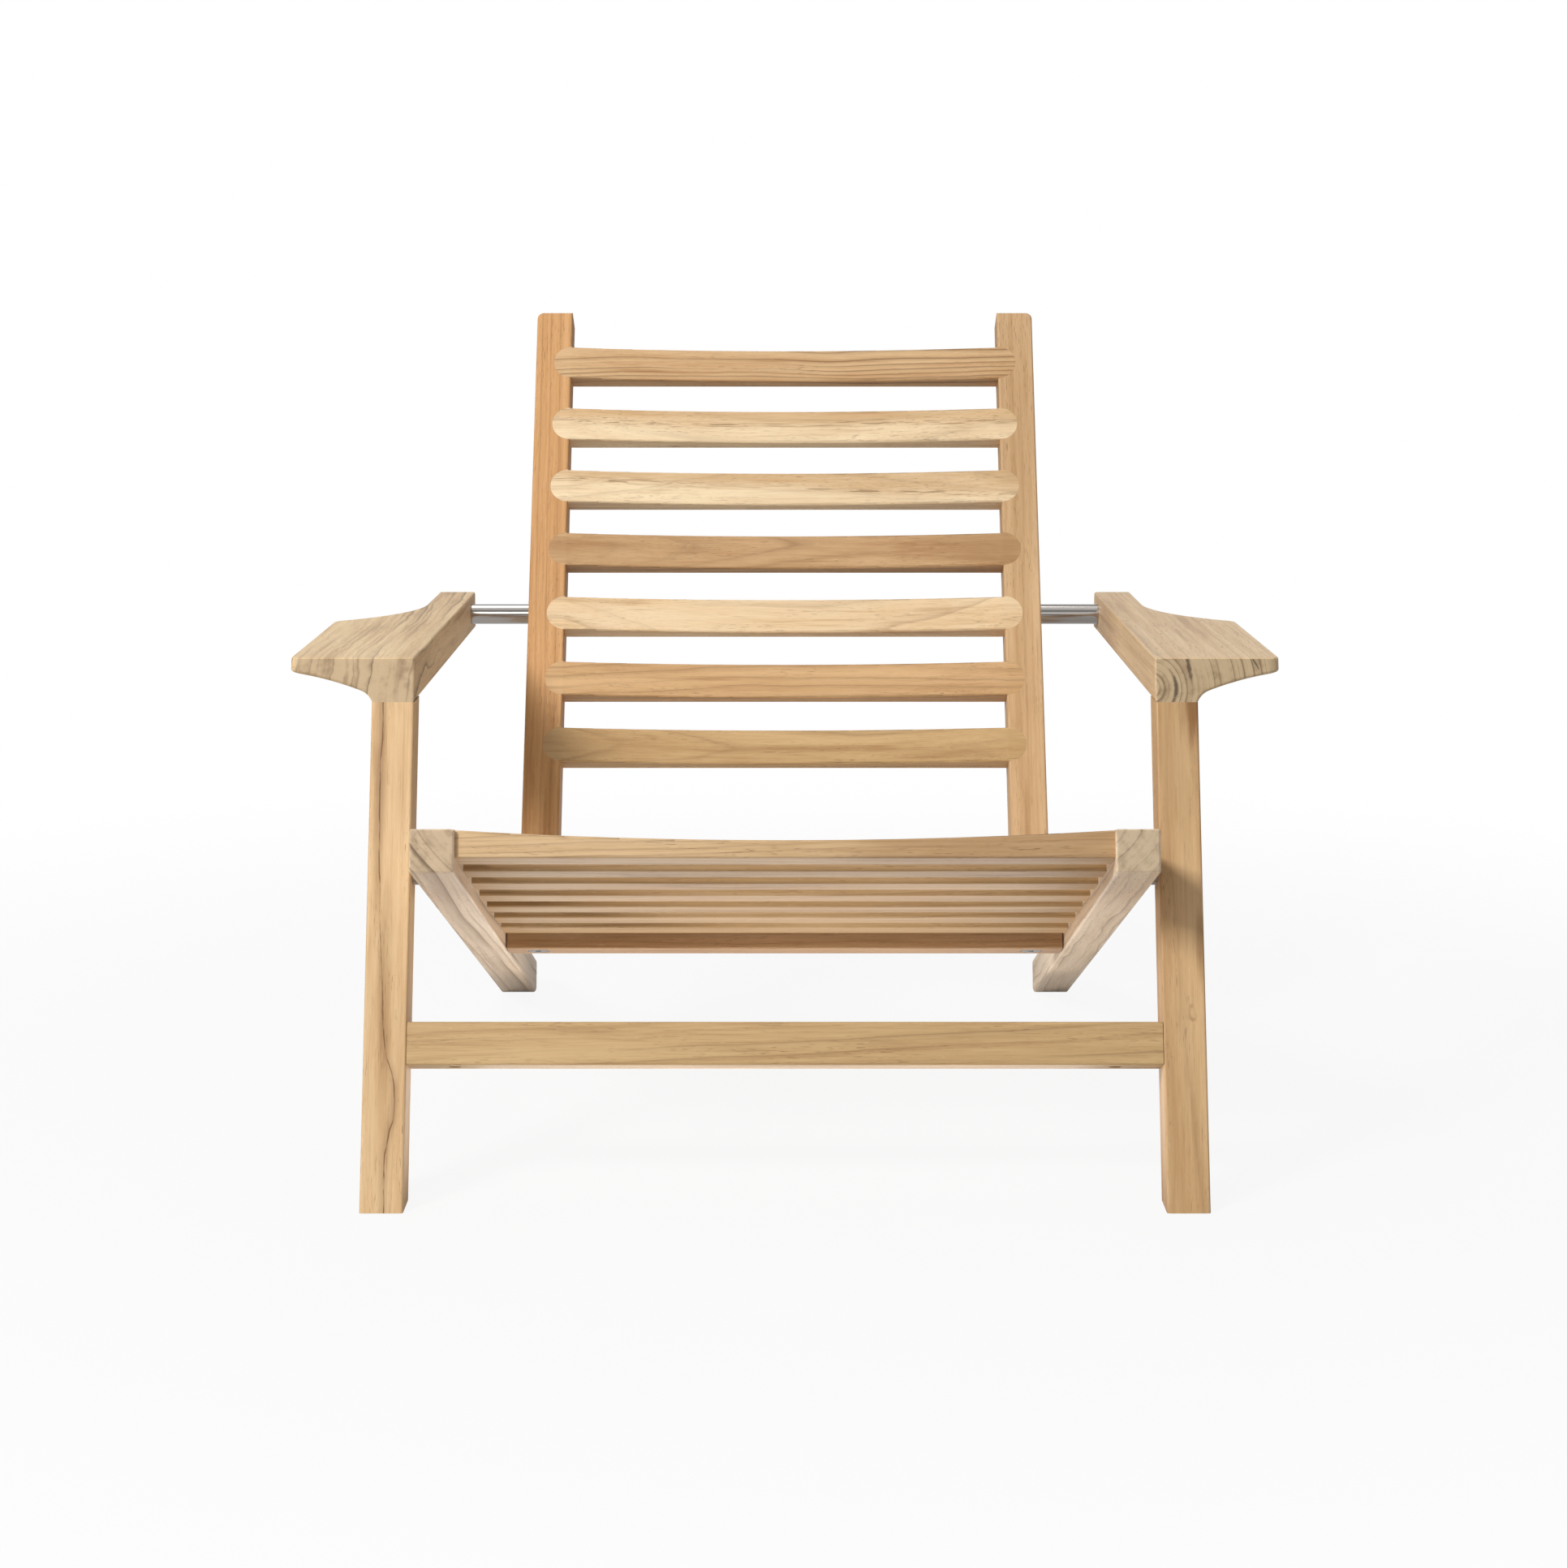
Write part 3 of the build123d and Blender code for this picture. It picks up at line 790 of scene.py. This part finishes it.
def add_world():
    """Soft even air, white behind the chair, and darker and paler walls for metal to mirror."""
    world = bpy.data.worlds.new("studio_air")
    bpy.context.scene.world = world
    finish = Finish(world)
    rise = finish.part(finish.node("ShaderNodeTexCoord", output="Generated"), (0, 0, 1))
    walls = finish.node("ShaderNodeValToRGB", {"stops": STUDIO_WALLS}, {"Fac": rise})
    air = finish.node("ShaderNodeBackground", None, {"Color": WHITE, "Strength": AIR_LIGHT})
    white = finish.node("ShaderNodeBackground", None, {"Color": WHITE, "Strength": 1.0})
    room = finish.node("ShaderNodeBackground", None, {"Color": walls, "Strength": 1.0})
    shown = finish.node("ShaderNodeMixShader", None, {0: seen_directly(finish), 1: air, 2: white})
    mirrored = {0: finish.ray("Is Glossy Ray"), 1: shown, 2: room}
    finish.surface(finish.node("ShaderNodeMixShader", None, mirrored))


def add_lamp(name, place, aim, size, watts):
    """A square soft box that shines from its place towards its aim."""
    lamp = bpy.data.lights.new(name, "AREA")
    lamp.shape = "SQUARE"
    lamp.size = size
    lamp.energy = watts
    stand = bpy.data.objects.new(name, lamp)
    stand.location = place
    stand.rotation_mode = "QUATERNION"
    stand.rotation_quaternion = (Vector(aim) - Vector(place)).to_track_quat("-Z", "Y")
    stand.visible_camera = False
    bpy.context.scene.collection.objects.link(stand)


def add_lamps():
    """Soft boxes around the chair, and faint ones on the floor for what a bright floor throws up."""
    chair = (0.0, 0.0, 0.35)
    add_lamp("key_lamp", place=(-2.26, -2.6, 2.66), aim=chair, size=0.9, watts=130.0)
    add_lamp("front_lamp", place=(-1.2, -3.9, 2.1), aim=chair, size=1.5, watts=14.0)
    add_lamp("top_lamp", place=(-0.4, 1.0, 3.2), aim=chair, size=1.6, watts=22.0)
    add_lamp("seat_bounce", place=(0.0, -0.11, 0.004), aim=(0.0, -0.11, 1.0), size=0.5, watts=0.95)
    for name, side in (("left_foot_bounce", -1), ("right_foot_bounce", 1)):
        foot = (side * 0.26, 0.30, 0.05)
        add_lamp(name, place=(side * 0.20, 0.16, 0.004), aim=foot, size=0.10, watts=0.035)
    add_lamp("right_fill", place=(2.9, -1.7, 1.0), aim=chair, size=1.8, watts=9.0)


def add_camera():
    """The photograph's viewpoint: straight in front of the chair, looking a little down."""
    lens = bpy.data.cameras.new("camera")
    lens.sensor_width = SENSOR_MM
    lens.lens = SENSOR_MM * FOCAL_PIXELS / FRAME_PIXELS
    lens.dof.use_dof = False
    camera = bpy.data.objects.new("camera", lens)
    camera.location = CAMERA_PLACE
    camera.rotation_euler = (math.radians(90 - CAMERA_DIP), 0, 0)
    bpy.context.scene.collection.objects.link(camera)
    bpy.context.scene.camera = camera


def add_studio():
    bpy.context.scene.view_settings.view_transform = "Standard"
    add_floor()
    add_world()
    add_lamps()
    add_camera()


dress_legs()
dress_armrests()
dress_stiles()
dress_back_slats()
dress_seat_slats()
dress_rails()
dress_crosswise_bars()
dress_fittings()
add_studio()
